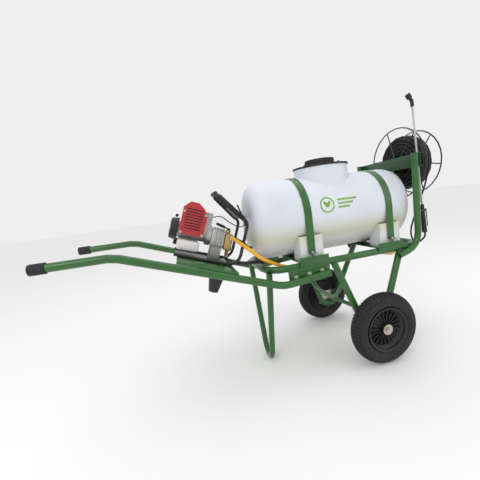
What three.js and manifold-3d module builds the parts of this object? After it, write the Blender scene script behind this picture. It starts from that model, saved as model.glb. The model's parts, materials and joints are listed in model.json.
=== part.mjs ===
// Wheeled sprayer cart: a two-wheeled tubular barrow that carries a strapped tank, an engine-driven
// pump on the handles and a hose reel with a spray gun at the front.
//
// Millimetres, +Z up. +X points from the handles to the wheels and the reel, -Y is the near side.
// The origin is on the ground under the middle of the whole cart.

import * as THREE from "three";
import { mergeVertices } from "three/addons/utils/BufferGeometryUtils.js";
import { RoundedBoxGeometry } from "three/addons/geometries/RoundedBoxGeometry.js";
import Module from "manifold-3d";

const wasm = await Module();
wasm.setup();

// ---------------------------------------------------------------- driving dimensions

const GAP = 0.3; // clearance between pieces that touch
const SIDES = [
  { name: "near", sign: -1 },
  { name: "far", sign: 1 },
];

// Chassis loop: two rails joined by a rounded bend at each end.
const TUBE_R = 18;
const TUBE_WALL = 2;
const RAIL_Y = 200;
const RAIL_Z = 553;
const LOOP_BACK_X = -127;
const LOOP_FRONT_X = 797;
const LOOP_CORNER_R = 95;

// Wheels on stub axles, each held in the bottom of a V-shaped fork.
const AXLE_X = 420;
const AXLE_Z = 185;
const WHEEL_Y = 315;
const TYRE_R = 185;
const TYRE_W = 88;
const WHEEL_SEGMENTS = 24;
const RIM_R = 103.5;
const RIM_FLANGE_R = 116;
const RIM_WELL_R = 88;
const VALVE_HOLE_R = 76; // from the axle to the hole for the tyre's valve
const HUB_R = 26;
const AXLE_R = 10;
const FORK_FRONT_X = 649;
const FORK_REAR_X = 233;
const FORK_APEX = { x: 416, y: 253, z: 26 };
const FORK_BEND_R = 60; // centred on the axle

// Hoop and cross brace between the rear fork legs.
const HOOP_X = 272;
const HOOP_R = 10;
const HOOP_TOP_Z = 430;
const HOOP_LOW_Z = 312;
const BRACE_R = 11;
const BRACE_Z = 290;

// V-shaped stand under the back of the loop.
const STAND_TOP = { x: -118, y: 190, z: 548 };
const STAND_FOOT_X = -115;
const STAND_R = 16;
const STAND_BEND_R = 65;

// Handles: an upper grip run, a slope and a tail bolted beside the loop.
const HANDLE_GRIP = { x: -1078, y: 266, z: 753 };
const HANDLE_TOP = { x: -785, y: 272, z: 752 };
const HANDLE_LOW = { x: -68, y: 248, z: 484 };
const HANDLE_TAIL = { x: 183, y: 248, z: 504 };
const HANDLE_TOP_BEND_R = 120;
const HANDLE_LOW_BEND_R = 150;
const GRIP_R = 22.5;
const GRIP_LENGTH = 58;
const PLATE_T = 6;

// Posts and the beam that carry the hose reel.
const POST_X = 752;
const POST_Y = 230;
const POST_TOP_Z = 1055;
const POST_R = 17;
const POST_CORNER_Z = 550;
const POST_END = { x: 618, z: 516 };
const POST_BEND_R = 105;
const BEAM_HEIGHT = 72;
const BEAM_LIP = 18;

// Saddles across the rails, tank, straps and lid.
const SADDLE_CENTRES = { rear: 119, front: 580 };
const SADDLE_HALF = 81;
const SADDLE_FLANGE_Y = 219;
const STRAP_CENTRES = { rear: 117, front: 597 };
const STRAP_WIDTH = 40;
const STRAP_T = 3;
const STRAP_END_Z = 614;
const TANK_BACK_X = -150;
const TANK_FRONT_X = 768;
const TANK_HALF_Y = 200;
const TANK_HALF_Z = 210;
const TANK_MID_Z = 796;
const TANK_EDGE_R = 70;
const TANK_WALL = 5;
const TANK_SEGMENTS = 28; // flats round the barrel, shared by the straps
const TANK_FOOT = { halfX: 64, innerY: 110, outerY: 197, topZ: 700 };
const TANK_FOOT_CENTRES = [122, 597];
const TANK_OUTLET = { x: -12, y: -82, z: 590 };
const NECK_X = 316;
const NECK_R = 150;
const NECK_TOP_Z = 1050;
const RING_R = 154.5;
const RING_T = 10;
const LID_R = 80.5;
const LID_BORE_R = 72;
const LID_TOP_Z = 1097;

// Hose reel on an axis along X.
const REEL_Z = 1025;
const REEL_BACK = { x: 852, ringR: 213 };
const REEL_FRONT = { x: 983, ringR: 189 };
const REEL_ROD_R = 4;
const REEL_DRUM_R = 58;
const REEL_SHAFT_R = 10;
const PACK_R = 166;
const PACK_X = { from: 871, to: 964 };
const CRANK_LENGTH = 120;
const CRANK_ANGLE = THREE.MathUtils.degToRad(-18);
const CRANK_X = 1003;
const CART_FRONT_X = 1078;

// Spray gun and lance that stand on the near post.
const GUN_FOOT = { x: 818, y: -210, z: 615 };
const GUN_LEAN = THREE.MathUtils.degToRad(-3.5);
const GUN_LENGTH = 158;
const LANCE_LENGTH = 541;

// Power unit: its tray frame lies parallel to the handle slope.
const SLOPE = Math.atan2(HANDLE_TOP.z - HANDLE_LOW.z, HANDLE_LOW.x - HANDLE_TOP.x);
const UNIT_STATION_X = -444;
const UNIT_LIFT = 36;
const TRAY_TUBE_R = 8.5;
const TRAY_Y = 112;
const SHAFT_W = 118; // height of the crankshaft over the tray frame
const SHAFT_V = -20; // its offset towards the near side

// ---------------------------------------------------------------- materials

/** A plain coloured finish. */
function finish(color, roughness, metalness = 0) {
  return new THREE.MeshStandardMaterial({ color, roughness, metalness });
}

const GREEN = finish(0x2a6a2c, 0.4);
const TANK_WHITE = finish(0xdde0e8, 0.45);
const BLACK = finish(0x16171a, 0.5);
const RUBBER = finish(0x1d1a1b, 0.85);
const RED = finish(0xb3202b, 0.35);
const ALUMINIUM = finish(0xb4b4b2, 0.4, 0.9);
const BRASS = finish(0xb08d4a, 0.35, 0.95);
const ZINC = finish(0xc6c3b4, 0.35, 0.9);
const YELLOW = finish(0xf2b632, 0.45);
const FUEL_WHITE = finish(0xe4dfe0, 0.5);

// ---------------------------------------------------------------- solids and booleans

/** Turns a closed geometry into a solid for cutting and joining. */
function toSolid(geometry) {
  const bare = geometry.index ? geometry.toNonIndexed() : geometry.clone();
  bare.deleteAttribute("normal");
  bare.deleteAttribute("uv");
  const merged = mergeVertices(bare, 1e-3);
  return new wasm.Manifold(
    new wasm.Mesh({
      numProp: 3,
      vertProperties: new Float32Array(merged.attributes.position.array),
      triVerts: new Uint32Array(merged.index.array),
    }),
  );
}

/** Turns a solid back into a geometry. */
function toGeometry(solid) {
  const mesh = solid.getMesh();
  const geometry = new THREE.BufferGeometry();
  geometry.setAttribute("position", new THREE.BufferAttribute(mesh.vertProperties, 3));
  geometry.setIndex(new THREE.BufferAttribute(mesh.triVerts, 1));
  geometry.computeVertexNormals();
  return geometry;
}

/** Joins overlapping geometries into one. */
function join(...geometries) {
  return toGeometry(geometries.map(toSolid).reduce((whole, piece) => whole.add(piece)));
}

/** Cuts each of the cutters out of a geometry. */
function cut(geometry, ...cutters) {
  return toGeometry(cutters.map(toSolid).reduce((rest, tool) => rest.subtract(tool), toSolid(geometry)));
}

// ---------------------------------------------------------------- shapes

/** A box between two limits on each axis. */
function box([x0, x1], [y0, y1], [z0, z1]) {
  const geometry = new THREE.BoxGeometry(x1 - x0, y1 - y0, z1 - z0);
  return geometry.translate((x0 + x1) / 2, (y0 + y1) / 2, (z0 + z1) / 2);
}

/** The same with rounded edges. */
function softBox([x0, x1], [y0, y1], [z0, z1], radius, segments = 1) {
  const geometry = new RoundedBoxGeometry(x1 - x0, y1 - y0, z1 - z0, segments, radius);
  return geometry.translate((x0 + x1) / 2, (y0 + y1) / 2, (z0 + z1) / 2);
}

/** A cylinder that starts at one point and ends at another. */
function rod(from, to, radius, sides = 12, endRadius = radius) {
  const start = new THREE.Vector3(...from);
  const run = new THREE.Vector3(...to).sub(start);
  const geometry = new THREE.CylinderGeometry(endRadius, radius, run.length(), sides);
  geometry.translate(0, run.length() / 2, 0);
  const up = new THREE.Vector3(0, 1, 0);
  geometry.applyQuaternion(new THREE.Quaternion().setFromUnitVectors(up, run.normalize()));
  return geometry.translate(start.x, start.y, start.z);
}

/** Points of a regular polygon round the origin. */
function polygon(radius, sides) {
  return Array.from({ length: sides }, (_, i) => {
    const angle = (2 * Math.PI * (i + 0.5)) / sides;
    return new THREE.Vector2(radius * Math.cos(angle), radius * Math.sin(angle));
  });
}

/** Straight runs joined by arcs; each corner is [x, y, z, bend radius]. */
class BentPath extends THREE.Curve {
  constructor(corners, arcStep = THREE.MathUtils.degToRad(23)) {
    super();
    this.stations = [];
    const points = corners.map(([x, y, z]) => new THREE.Vector3(x, y, z));
    const along = (i) => points[i + 1].clone().sub(points[i]).normalize();
    const last = points.length - 1;
    this.stations.push({ point: points[0], tangent: along(0) });
    for (let i = 1; i < last; i++) {
      this.addBend(points[i], along(i - 1), along(i), corners[i][3], arcStep);
    }
    this.stations.push({ point: points[last], tangent: along(last - 1) });
  }

  addBend(corner, into, out, radius, arcStep) {
    const turn = into.angleTo(out);
    const steps = Math.max(1, Math.ceil(turn / arcStep));
    const reach = radius * Math.tan(turn / 2);
    const start = corner.clone().addScaledVector(into, -reach);
    const side = out.clone().addScaledVector(into, -out.dot(into)).normalize();
    for (let k = 0; k <= steps; k++) {
      const angle = (turn * k) / steps;
      const point = start.clone().addScaledVector(into, radius * Math.sin(angle));
      point.addScaledVector(side, radius * (1 - Math.cos(angle)));
      const tangent = into.clone().multiplyScalar(Math.cos(angle));
      this.stations.push({ point, tangent: tangent.addScaledVector(side, Math.sin(angle)) });
    }
  }

  get steps() {
    return this.stations.length - 1;
  }

  getPointAt(u) {
    return this.stations[Math.round(u * this.steps)].point.clone();
  }

  getTangentAt(u) {
    return this.stations[Math.round(u * this.steps)].tangent.clone();
  }
}

/** A tube along a bent path, solid unless it has a wall thickness. */
function tube(corners, radius, { wall = 0, sides = 12, arcStep } = {}) {
  const path = new BentPath(corners, arcStep);
  const section = new THREE.Shape(polygon(radius, sides));
  if (wall) section.holes.push(new THREE.Path(polygon(radius - wall, 6)));
  return new THREE.ExtrudeGeometry(section, { steps: path.steps, extrudePath: path, bevelEnabled: false });
}

/** A flexible hose through a list of points. */
function hose(points, radius, steps, sides = 8) {
  const curve = new THREE.CatmullRomCurve3(
    points.map((p) => new THREE.Vector3(...p)),
    false,
    "centripetal",
  );
  const section = new THREE.Shape(polygon(radius, sides));
  return new THREE.ExtrudeGeometry(section, { steps, extrudePath: curve, bevelEnabled: false });
}

/** An outline in the YZ plane drawn out along X. */
function alongX(points, [x0, x1], bevel = {}) {
  const shape = points instanceof THREE.Shape ? points : new THREE.Shape(points);
  const geometry = new THREE.ExtrudeGeometry(shape, { depth: x1 - x0, bevelEnabled: false, ...bevel });
  const turn = new THREE.Matrix4().makeBasis(
    new THREE.Vector3(0, 1, 0),
    new THREE.Vector3(0, 0, 1),
    new THREE.Vector3(1, 0, 0),
  );
  return geometry.applyMatrix4(turn).translate(x0, 0, 0);
}

/** An outline in the XZ plane drawn out along Y. */
function alongY(points, [y0, y1], bevel = {}) {
  const shape = new THREE.Shape(points);
  const geometry = new THREE.ExtrudeGeometry(shape, { depth: y1 - y0, bevelEnabled: false, ...bevel });
  return geometry.rotateX(Math.PI / 2).translate(0, y1, 0);
}

/** A ring turned round the Y axis from a closed profile of [radius, y]. */
function turned(profile, segments) {
  const points = [...profile, profile[0]].map(([r, y]) => new THREE.Vector2(r, y));
  return new THREE.LatheGeometry(points, segments);
}

const v2 = (x, y) => new THREE.Vector2(x, y);

// ---------------------------------------------------------------- the cart

const cart = new THREE.Group();

/** Adds one piece to a group. */
function add(group, name, geometry, material) {
  const mesh = new THREE.Mesh(geometry, material.clone());
  mesh.name = name;
  group.add(mesh);
  return mesh;
}

// ---- chassis

const railRun = (sign, extra = 0) => [
  [LOOP_BACK_X + LOOP_CORNER_R - extra, sign * RAIL_Y, RAIL_Z],
  [LOOP_FRONT_X - LOOP_CORNER_R + extra, sign * RAIL_Y, RAIL_Z],
];
const railClearance = (sign) => tube(railRun(sign, 1), TUBE_R + GAP);

const loopEnd = (endX, startX) => [
  [startX, -RAIL_Y, RAIL_Z],
  [endX, -RAIL_Y, RAIL_Z, LOOP_CORNER_R],
  [endX, RAIL_Y, RAIL_Z, LOOP_CORNER_R],
  [startX, RAIL_Y, RAIL_Z],
];
const loopBack = loopEnd(LOOP_BACK_X, LOOP_BACK_X + LOOP_CORNER_R - GAP);
const loopFront = loopEnd(LOOP_FRONT_X, LOOP_FRONT_X - LOOP_CORNER_R + GAP);

function addChassis() {
  add(cart, "loop_rear", tube(loopBack, TUBE_R, { wall: TUBE_WALL }), GREEN);
  add(cart, "loop_front", tube(loopFront, TUBE_R, { wall: TUBE_WALL }), GREEN);
  for (const { name, sign } of SIDES) {
    add(cart, `rail_${name}`, tube(railRun(sign), TUBE_R, { wall: TUBE_WALL }), GREEN);
  }
}

// ---- forks, hoop and brace

const forkRun = (sign) => [
  [FORK_FRONT_X, sign * 203, RAIL_Z - 12],
  [FORK_APEX.x, sign * FORK_APEX.y, FORK_APEX.z, FORK_BEND_R],
  [FORK_REAR_X, sign * 203, RAIL_Z - 10],
];

function addForks() {
  for (const { name, sign } of SIDES) {
    const fork = cut(tube(forkRun(sign), TUBE_R, { wall: TUBE_WALL }), railClearance(sign));
    add(cart, `fork_${name}`, fork, GREEN);
  }
  const forkClearances = SIDES.map(({ sign }) => tube(forkRun(sign), TUBE_R + GAP));
  const hoopCorners = [
    [HOOP_X, -217, HOOP_TOP_Z + 4],
    [HOOP_X, -120, HOOP_LOW_Z, 110],
    [HOOP_X, 120, HOOP_LOW_Z, 110],
    [HOOP_X, 217, HOOP_TOP_Z + 4],
  ];
  add(cart, "hoop", cut(tube(hoopCorners, HOOP_R, { sides: 10 }), ...forkClearances), GREEN);
  const braceEnd = (sign) => [322, sign * 228, BRACE_Z];
  const brace = tube([braceEnd(-1), [285, 0, BRACE_Z, 200], braceEnd(1)], BRACE_R, { sides: 10 });
  const hoopClearance = tube(hoopCorners, HOOP_R + GAP, { sides: 10 });
  add(cart, "cross_brace", cut(brace, ...forkClearances, hoopClearance), GREEN);
}

// ---- stand

function addStand() {
  const drop = STAND_TOP.z - STAND_R - STAND_BEND_R; // from a leg's top to the bend's centre
  const spread = Math.atan(STAND_TOP.y / drop) - Math.asin(STAND_BEND_R / Math.hypot(STAND_TOP.y, drop));
  const corners = [
    [STAND_TOP.x, -STAND_TOP.y, STAND_TOP.z],
    [STAND_FOOT_X, 0, STAND_TOP.z - STAND_TOP.y / Math.tan(spread), STAND_BEND_R],
    [STAND_TOP.x, STAND_TOP.y, STAND_TOP.z],
  ];
  const stand = tube(corners, STAND_R, { wall: TUBE_WALL, arcStep: THREE.MathUtils.degToRad(20) });
  add(cart, "stand", cut(stand, tube(loopBack, TUBE_R + GAP)), GREEN);
}

// ---- handles, bolted plates and grips

const handleRun = (sign) => [
  [HANDLE_GRIP.x + 6, sign * HANDLE_GRIP.y, HANDLE_GRIP.z],
  [HANDLE_TOP.x, sign * HANDLE_TOP.y, HANDLE_TOP.z, HANDLE_TOP_BEND_R],
  [HANDLE_LOW.x, sign * HANDLE_LOW.y, HANDLE_LOW.z, HANDLE_LOW_BEND_R],
  [HANDLE_TAIL.x, sign * HANDLE_TAIL.y, HANDLE_TAIL.z],
];

function addHandles() {
  for (const { name, sign } of SIDES) {
    const span = (a, b) => (sign < 0 ? [-b, -a] : [a, b]);
    const framePlateY = RAIL_Y + TUBE_R + GAP;
    const handlePlateY = framePlateY + PLATE_T + GAP;
    const plate = [v2(-27, 482), v2(196, 502), v2(200, RAIL_Z), v2(-30, RAIL_Z)];
    add(cart, `bolt_plate_${name}`, alongY(plate, span(framePlateY, framePlateY + PLATE_T)), GREEN);
    const wing = [v2(-22, 484), v2(178, 500), v2(178, 538), v2(-22, 522)];
    const handle = join(
      tube(handleRun(sign), TUBE_R, { sides: 12, wall: TUBE_WALL }),
      alongY(wing, span(handlePlateY, handlePlateY + PLATE_T)),
    );
    add(cart, `handle_${name}`, handle, GREEN);
    const grip = cut(
      rod([HANDLE_GRIP.x, sign * HANDLE_GRIP.y, HANDLE_GRIP.z], gripEnd(sign), GRIP_R, 16),
      tube(handleRun(sign), TUBE_R + GAP),
    );
    add(cart, `grip_${name}`, grip, RUBBER);
  }
}

/** The inner end of a grip, on the line of its handle. */
function gripEnd(sign) {
  const part = GRIP_LENGTH / (HANDLE_TOP.x - HANDLE_GRIP.x);
  const at = (axis) => HANDLE_GRIP[axis] + part * (HANDLE_TOP[axis] - HANDLE_GRIP[axis]);
  return [at("x"), sign * at("y"), at("z")];
}

// ---- posts and reel beam

const postRun = (sign) => [
  [POST_X, sign * POST_Y, POST_TOP_Z],
  [POST_X, sign * POST_Y, POST_CORNER_Z, POST_BEND_R],
  [POST_END.x, sign * POST_Y, POST_END.z],
];

function addPosts() {
  for (const { name, sign } of SIDES) {
    const bent = tube(postRun(sign), POST_R, { wall: TUBE_WALL });
    const fork = tube(forkRun(sign), TUBE_R + GAP);
    const post = cut(bent, fork, railClearance(sign), tube(loopFront, TUBE_R + GAP));
    add(cart, `post_${name}`, sign < 0 ? join(post, gunHolder()) : post, GREEN);
  }
  const back = POST_X + POST_R + GAP;
  const low = POST_TOP_Z - BEAM_HEIGHT;
  const channel = [
    v2(back, low),
    v2(back + BEAM_LIP, low),
    v2(back + BEAM_LIP, low + 3),
    v2(back + 3, low + 3),
    v2(back + 3, POST_TOP_Z - 3),
    v2(back + BEAM_LIP, POST_TOP_Z - 3),
    v2(back + BEAM_LIP, POST_TOP_Z),
    v2(back, POST_TOP_Z),
  ];
  add(cart, "reel_beam", alongY(channel, [-POST_Y - POST_R, POST_Y + POST_R]), GREEN);
}

/** A welded arm with an open ring that the neck of the gun stands in. */
function gunHolder() {
  const z = 742;
  const arm = box([POST_X + 10, 803], [-224, -214], [z - 3, z + 3]);
  const ring = rod([GUN_FOOT.x, -203.5, z - 3], [GUN_FOOT.x, -203.5, z + 3], 21, 16);
  const bore = rod([GUN_FOOT.x, -202.2, z - 8], [GUN_FOOT.x, -202.2, z + 8], 15, 16);
  const mouth = box([GUN_FOOT.x, GUN_FOOT.x + 30], [-214, -192], [z - 8, z + 8]);
  return join(cut(arm, bore), cut(ring, bore, mouth));
}

// ---- saddles, tank and straps

function addSaddles() {
  const out = SADDLE_FLANGE_Y + 3;
  const y = SADDLE_FLANGE_Y;
  const floor = RAIL_Z + TUBE_R + GAP;
  const section = [
    v2(-out, 553),
    v2(-y, 553),
    v2(-y, floor),
    v2(y, floor),
    v2(y, 553),
    v2(out, 553),
    v2(out, 598),
    v2(y, 598),
    v2(y, floor + 3),
    v2(-y, floor + 3),
    v2(-y, 598),
    v2(-out, 598),
  ];
  for (const [name, x] of Object.entries(SADDLE_CENTRES)) {
    add(cart, `saddle_${name}`, alongX(section, [x - SADDLE_HALF, x + SADDLE_HALF]), GREEN);
  }
}

/** The rounded barrel of the tank, drawn in by an inset on every side. */
function barrel(inset, bevelSegments) {
  const edge = TANK_EDGE_R - inset;
  const shape = new THREE.Shape();
  shape.absellipse(0, TANK_MID_Z, TANK_HALF_Y - TANK_EDGE_R, TANK_HALF_Z - TANK_EDGE_R, 0, 2 * Math.PI);
  return alongX(shape, [TANK_BACK_X + TANK_EDGE_R, TANK_FRONT_X - TANK_EDGE_R], {
    curveSegments: TANK_SEGMENTS / 2,
    bevelEnabled: true,
    bevelThickness: edge,
    bevelSize: edge,
    bevelSegments,
  });
}

/** The four moulded feet, drawn in by an inset. */
function tankFeet(inset) {
  const floor = RAIL_Z + TUBE_R + GAP + 3 + GAP;
  const feet = [];
  for (const x of TANK_FOOT_CENTRES) {
    const spanX = [x - TANK_FOOT.halfX + inset, x + TANK_FOOT.halfX - inset];
    for (const { sign } of SIDES) {
      const ys = [sign * (TANK_FOOT.innerY + inset), sign * (TANK_FOOT.outerY - inset)];
      feet.push(box(spanX, ys.sort((a, b) => a - b), [floor + inset, TANK_FOOT.topZ]));
    }
  }
  return feet;
}

const upright = (x, z0, z1, radius, sides) => rod([x, 0, z0], [x, 0, z1], radius, sides);

function addTank() {
  const outer = join(
    barrel(0, 3),
    ...tankFeet(0),
    upright(NECK_X, 925, NECK_TOP_Z, NECK_R, 32),
    rod([TANK_OUTLET.x, TANK_OUTLET.y, 630], [TANK_OUTLET.x, TANK_OUTLET.y, TANK_OUTLET.z], 13, 12),
  );
  const room = join(barrel(TANK_WALL, 2), ...tankFeet(TANK_WALL));
  const mouth = upright(NECK_X, 940, NECK_TOP_Z + 5, NECK_R - TANK_WALL, 32);
  add(cart, "tank", cut(outer, room, mouth), TANK_WHITE);

  const ringLow = NECK_TOP_Z + GAP;
  const ring = cut(
    upright(NECK_X, ringLow, ringLow + RING_T, RING_R, 32),
    upright(NECK_X, ringLow - 1, ringLow + RING_T + 1, LID_BORE_R + GAP, 24),
  );
  add(cart, "neck_ring", ring, BLACK);

  const lidLow = ringLow + RING_T + GAP;
  const lid = join(
    upright(NECK_X, lidLow, LID_TOP_Z, LID_R, 24),
    upright(NECK_X, ringLow - 12, lidLow + 1, LID_BORE_R - 1, 24),
  );
  const vent = upright(NECK_X, LID_TOP_Z - 6, LID_TOP_Z + 1, 24.3, 20);
  add(cart, "tank_lid", cut(lid, vent), BLACK);
  add(cart, "lid_vent", upright(NECK_X, LID_TOP_Z - 5.7, LID_TOP_Z, 24, 20), RED);
}

/** A band over the tank with an outward tab and a hook bolt at each end. */
function strap(x) {
  const steps = TANK_SEGMENTS / 2;
  const arch = (grow) =>
    Array.from({ length: steps + 1 }, (_, i) => {
      const angle = (Math.PI * i) / steps;
      const y = (TANK_HALF_Y + grow) * Math.cos(angle);
      return v2(y, TANK_MID_Z + (TANK_HALF_Z + grow) * Math.sin(angle));
    });
  const inner = 1.2;
  const outer = inner + STRAP_T;
  const legs = (grow) => TANK_HALF_Y + grow;
  const outline = [
    v2(legs(outer), STRAP_END_Z),
    ...arch(outer),
    v2(-legs(outer), STRAP_END_Z),
    v2(-legs(inner), STRAP_END_Z),
    ...arch(inner).reverse(),
    v2(legs(inner), STRAP_END_Z),
  ];
  const half = STRAP_WIDTH / 2;
  const band = alongX(outline, [x - half, x + half]);
  const fittings = SIDES.flatMap(({ sign }) => {
    const tabY = [sign * legs(inner), sign * 217].sort((a, b) => a - b);
    const boltY = sign * 210;
    const floor = RAIL_Z + TUBE_R + GAP + 3 + GAP;
    return [
      box([x - half, x + half], tabY, [STRAP_END_Z - 3, STRAP_END_Z]),
      rod([x, boltY, floor], [x, boltY, STRAP_END_Z + 9], 4, 8),
    ];
  });
  return join(band, ...fittings);
}

function addStraps() {
  for (const [name, x] of Object.entries(STRAP_CENTRES)) {
    add(cart, `strap_${name}`, strap(x), GREEN);
  }
}

// ---- wheels

const TYRE_PROFILE = [
  [RIM_R + GAP, -32],
  [RIM_FLANGE_R + 2, -33],
  [132, -42],
  [150, -TYRE_W / 2],
  [171, -38],
  [TYRE_R, -14],
  [TYRE_R, 14],
  [171, 38],
  [150, TYRE_W / 2],
  [132, 42],
  [RIM_FLANGE_R + 2, 33],
  [RIM_R + GAP, 32],
  [RIM_R + GAP, 24],
  [158, 32],
  [158, -32],
  [RIM_R + GAP, -24],
];

const RIM_PROFILE = [
  [AXLE_R + 0.8, -42],
  [HUB_R, -42],
  [HUB_R, -4],
  [RIM_WELL_R, -8],
  [RIM_FLANGE_R, -39],
  [RIM_FLANGE_R, -33.5],
  [RIM_R, -32.5],
  [RIM_R, 32.5],
  [RIM_FLANGE_R, 33.5],
  [RIM_FLANGE_R, 39],
  [RIM_WELL_R, 4],
  [HUB_R, 8],
  [HUB_R, 29],
  [AXLE_R + 0.8, 29],
];

/** A stub axle with the plate that closes the bottom of the fork, a washer and a nut. */
function stubAxle(sign) {
  const at = (y) => [AXLE_X, sign * y, AXLE_Z];
  const plate = [v2(366, 128), v2(474, 128), v2(498, 215), v2(345, 215)];
  const faces = [262.2, 267.2].map((y) => sign * y).sort((a, b) => a - b);
  return join(
    rod(at(236), at(356), AXLE_R, 12),
    alongY(plate, faces),
    rod(at(267), at(271.5), 16, 16),
    rod(at(345), at(348), 27, 20),
    rod(at(347), at(356), 15, 6),
  );
}

function addWheels() {
  const valveHole = rod([VALVE_HOLE_R, -20, 0], [VALVE_HOLE_R, 20, 0], 6, 8);
  for (const { name, sign } of SIDES) {
    const axle = cut(stubAxle(sign), tube(forkRun(sign), TUBE_R + GAP));
    add(cart, `axle_${name}`, axle, ZINC);
    const wheel = new THREE.Group();
    wheel.position.set(AXLE_X, sign * WHEEL_Y, AXLE_Z);
    wheel.rotation.z = sign < 0 ? Math.PI : 0;
    add(wheel, `tyre_${name}`, turned(TYRE_PROFILE, WHEEL_SEGMENTS), RUBBER);
    add(wheel, `rim_${name}`, cut(turned(RIM_PROFILE, WHEEL_SEGMENTS), valveHole), BLACK);
    cart.add(wheel);
  }
}

// ---- hose reel

/** A ring of round rod in the YZ plane. */
function ringOfRod(x, radius) {
  return new THREE.TorusGeometry(radius, REEL_ROD_R, 5, 28).rotateY(Math.PI / 2).translate(x, 0, REEL_Z);
}

/** A point on a circle round the reel axis. */
const onReel = (x, radius, angle) => [x, radius * Math.cos(angle), REEL_Z + radius * Math.sin(angle)];

function addReel() {
  const centre = (x) => [x, 0, REEL_Z];
  const plateX = POST_X + POST_R + GAP + 3 + GAP;
  const bracket = cut(
    join(
      box([plateX, plateX + 6], [-62, 62], [POST_TOP_Z - BEAM_HEIGHT + 6, POST_TOP_Z - 6]),
      rod(centre(plateX), centre(840), 16, 16),
      rod([812, 0, REEL_Z - 10], [812, 0, REEL_Z - 44], 9, 10),
    ),
    rod(centre(plateX + 12), centre(845), REEL_SHAFT_R + GAP, 16),
  );
  add(cart, "reel_bracket", bracket, ZINC);

  const drum = join(
    rod(centre(plateX + 14), centre(CRANK_X + 8), REEL_SHAFT_R, 16),
    cut(
      rod(centre(REEL_BACK.x), centre(REEL_FRONT.x), REEL_DRUM_R, 20),
      rod(centre(REEL_BACK.x - 1), centre(REEL_FRONT.x + 1), REEL_DRUM_R - 3, 20),
    ),
    rod(centre(REEL_BACK.x + 60), centre(REEL_BACK.x + 64), REEL_DRUM_R - 1, 20),
    crankArm(),
  );
  add(cart, "reel_drum", drum, BLACK);

  for (const [name, { x, ringR }, lean] of [["inner", REEL_BACK, -5], ["outer", REEL_FRONT, 5]]) {
    const spokes = Array.from({ length: 6 }, (_, i) => {
      const angle = (Math.PI * i) / 3 + 0.2;
      return rod(onReel(x + lean, 30, angle), onReel(x, ringR, angle), REEL_ROD_R - 0.5, 5);
    });
    const shaft = rod(centre(x - 12), centre(x + 12), REEL_SHAFT_R + GAP, 16);
    const hub = cut(rod(centre(x + lean - 3), centre(x + lean + 3), 36, 16), shaft);
    const drumTube = rod(centre(REEL_BACK.x - GAP), centre(REEL_FRONT.x + GAP), REEL_DRUM_R + GAP, 20);
    add(cart, `reel_ring_${name}`, cut(join(ringOfRod(x, ringR), hub, ...spokes), drumTube), BLACK);
  }

  const pack = [
    [REEL_DRUM_R + 2, PACK_X.from],
    [PACK_R - 12, PACK_X.from],
    [PACK_R, PACK_X.from + 12],
    [PACK_R, PACK_X.to - 12],
    [PACK_R - 12, PACK_X.to],
    [REEL_DRUM_R + 2, PACK_X.to],
  ];
  const coil = turned(pack, 28).rotateZ(-Math.PI / 2).translate(0, 0, REEL_Z);
  add(cart, "hose_pack", coil, BLACK);

  const grip = onReel(0, CRANK_LENGTH, CRANK_ANGLE);
  const knob = cut(
    rod([CRANK_X + 8 + GAP, grip[1], grip[2]], [CART_FRONT_X, grip[1], grip[2]], 13, 16, 15),
    rod([CRANK_X, grip[1], grip[2]], [CART_FRONT_X - 8, grip[1], grip[2]], 5 + GAP, 12),
  );
  add(cart, "crank_knob", knob, BLACK);
}

/** The crank's flat arm with the pin that its knob turns on. */
function crankArm() {
  const arm = alongX([v2(-14, -13), v2(CRANK_LENGTH + 12, -11), v2(CRANK_LENGTH + 12, 11), v2(-14, 13)], [
    CRANK_X,
    CRANK_X + 8,
  ]);
  arm.rotateX(CRANK_ANGLE).translate(0, 0, REEL_Z);
  const [, y, z] = onReel(0, CRANK_LENGTH, CRANK_ANGLE);
  return join(arm, rod([CRANK_X + 4, y, z], [CART_FRONT_X - 9, y, z], 5, 12));
}

// ---- spray gun, lance and nozzle, in a group that leans with the lance

function addGun() {
  const gun = new THREE.Group();
  gun.position.set(GUN_FOOT.x, GUN_FOOT.y, GUN_FOOT.z);
  gun.rotation.x = GUN_LEAN;
  const body = join(
    rod([0, 0, 0], [0, 0, 104], 13, 16, 11.5),
    rod([0, 0, 103], [0, 0, GUN_LENGTH], 11.5, 16, 9),
    box([8, 22], [-4, 4], [118, 132]),
  );
  const slot = box([17, 23], [-1.6, 1.6], [114, 136]);
  add(gun, "gun_handle", cut(body, slot), BLACK);
  const outline = [v2(17.5, 130), v2(21.5, 132), v2(27, 112), v2(26, 34), v2(22, 32), v2(22, 108)];
  add(gun, "gun_trigger", alongY(outline, [-1.2, 1.2]), BLACK);
  const lanceTop = GUN_LENGTH + GAP + LANCE_LENGTH;
  add(gun, "lance_tube", rod([0, 0, GUN_LENGTH + GAP], [0, 0, lanceTop], 5, 10), ALUMINIUM);
  const start = lanceTop + GAP;
  const neck = tube([[0, 0, start], [0, 0, start + 30, 14], [-14, 3, start + 52]], 9, { sides: 12 });
  const tip = rod([-9, 2, start + 44], [-22, 5, start + 68], 14, 14);
  add(gun, "nozzle", join(neck, tip), BLACK);
  cart.add(gun);
}

// ---- power unit, in a group that lies on the handle slope

const unitOrigin = new THREE.Vector3(
  UNIT_STATION_X + UNIT_LIFT * Math.sin(SLOPE),
  0,
  HANDLE_TOP.z - (UNIT_STATION_X - HANDLE_TOP.x) * Math.tan(SLOPE) + UNIT_LIFT * Math.cos(SLOPE),
);

/** A point of the power unit's own frame, seen from the cart. */
function fromUnit(u, v, w) {
  const point = new THREE.Vector3(u, v, w);
  point.applyAxisAngle(new THREE.Vector3(0, 1, 0), SLOPE).add(unitOrigin);
  return [point.x, point.y, point.z];
}

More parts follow.
